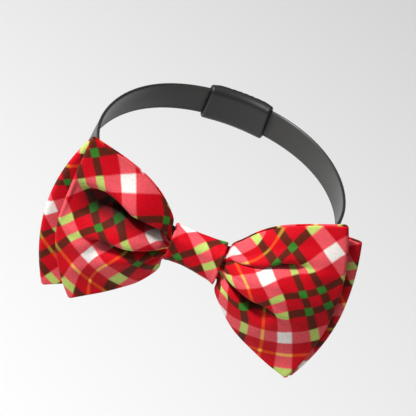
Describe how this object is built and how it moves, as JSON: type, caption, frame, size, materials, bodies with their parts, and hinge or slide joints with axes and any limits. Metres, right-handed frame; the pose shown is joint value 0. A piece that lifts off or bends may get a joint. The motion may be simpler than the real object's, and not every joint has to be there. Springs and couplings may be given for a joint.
{
  "type": "pet bow tie collar",
  "caption": "Plaid cotton bow tie with two stacked loops and a wrapped knot on a dark satin ribbon neck strap.",
  "frame": {"origin": "middle of the neck loop, level with the middle of the strap's width", "axes": "+Z along the neck towards the head, -Y forward through the bow's knot, +X across the bow"},
  "size_m": [0.1105, 0.117, 0.0637],
  "materials": {
    "plaid_cotton": "matte woven cotton in red with white, green and yellow plaid lines",
    "satin_ribbon": "satin ribbon, charcoal with a soft sheen",
    "black_plastic": "matte moulded plastic"
  },
  "bodies": {
    "root": {"front_bow": "plaid_cotton", "back_bow": "plaid_cotton", "knot_wrap": "plaid_cotton", "neck_strap": "satin_ribbon", "strap_clasp": "black_plastic"}
  },
  "joints": []
}
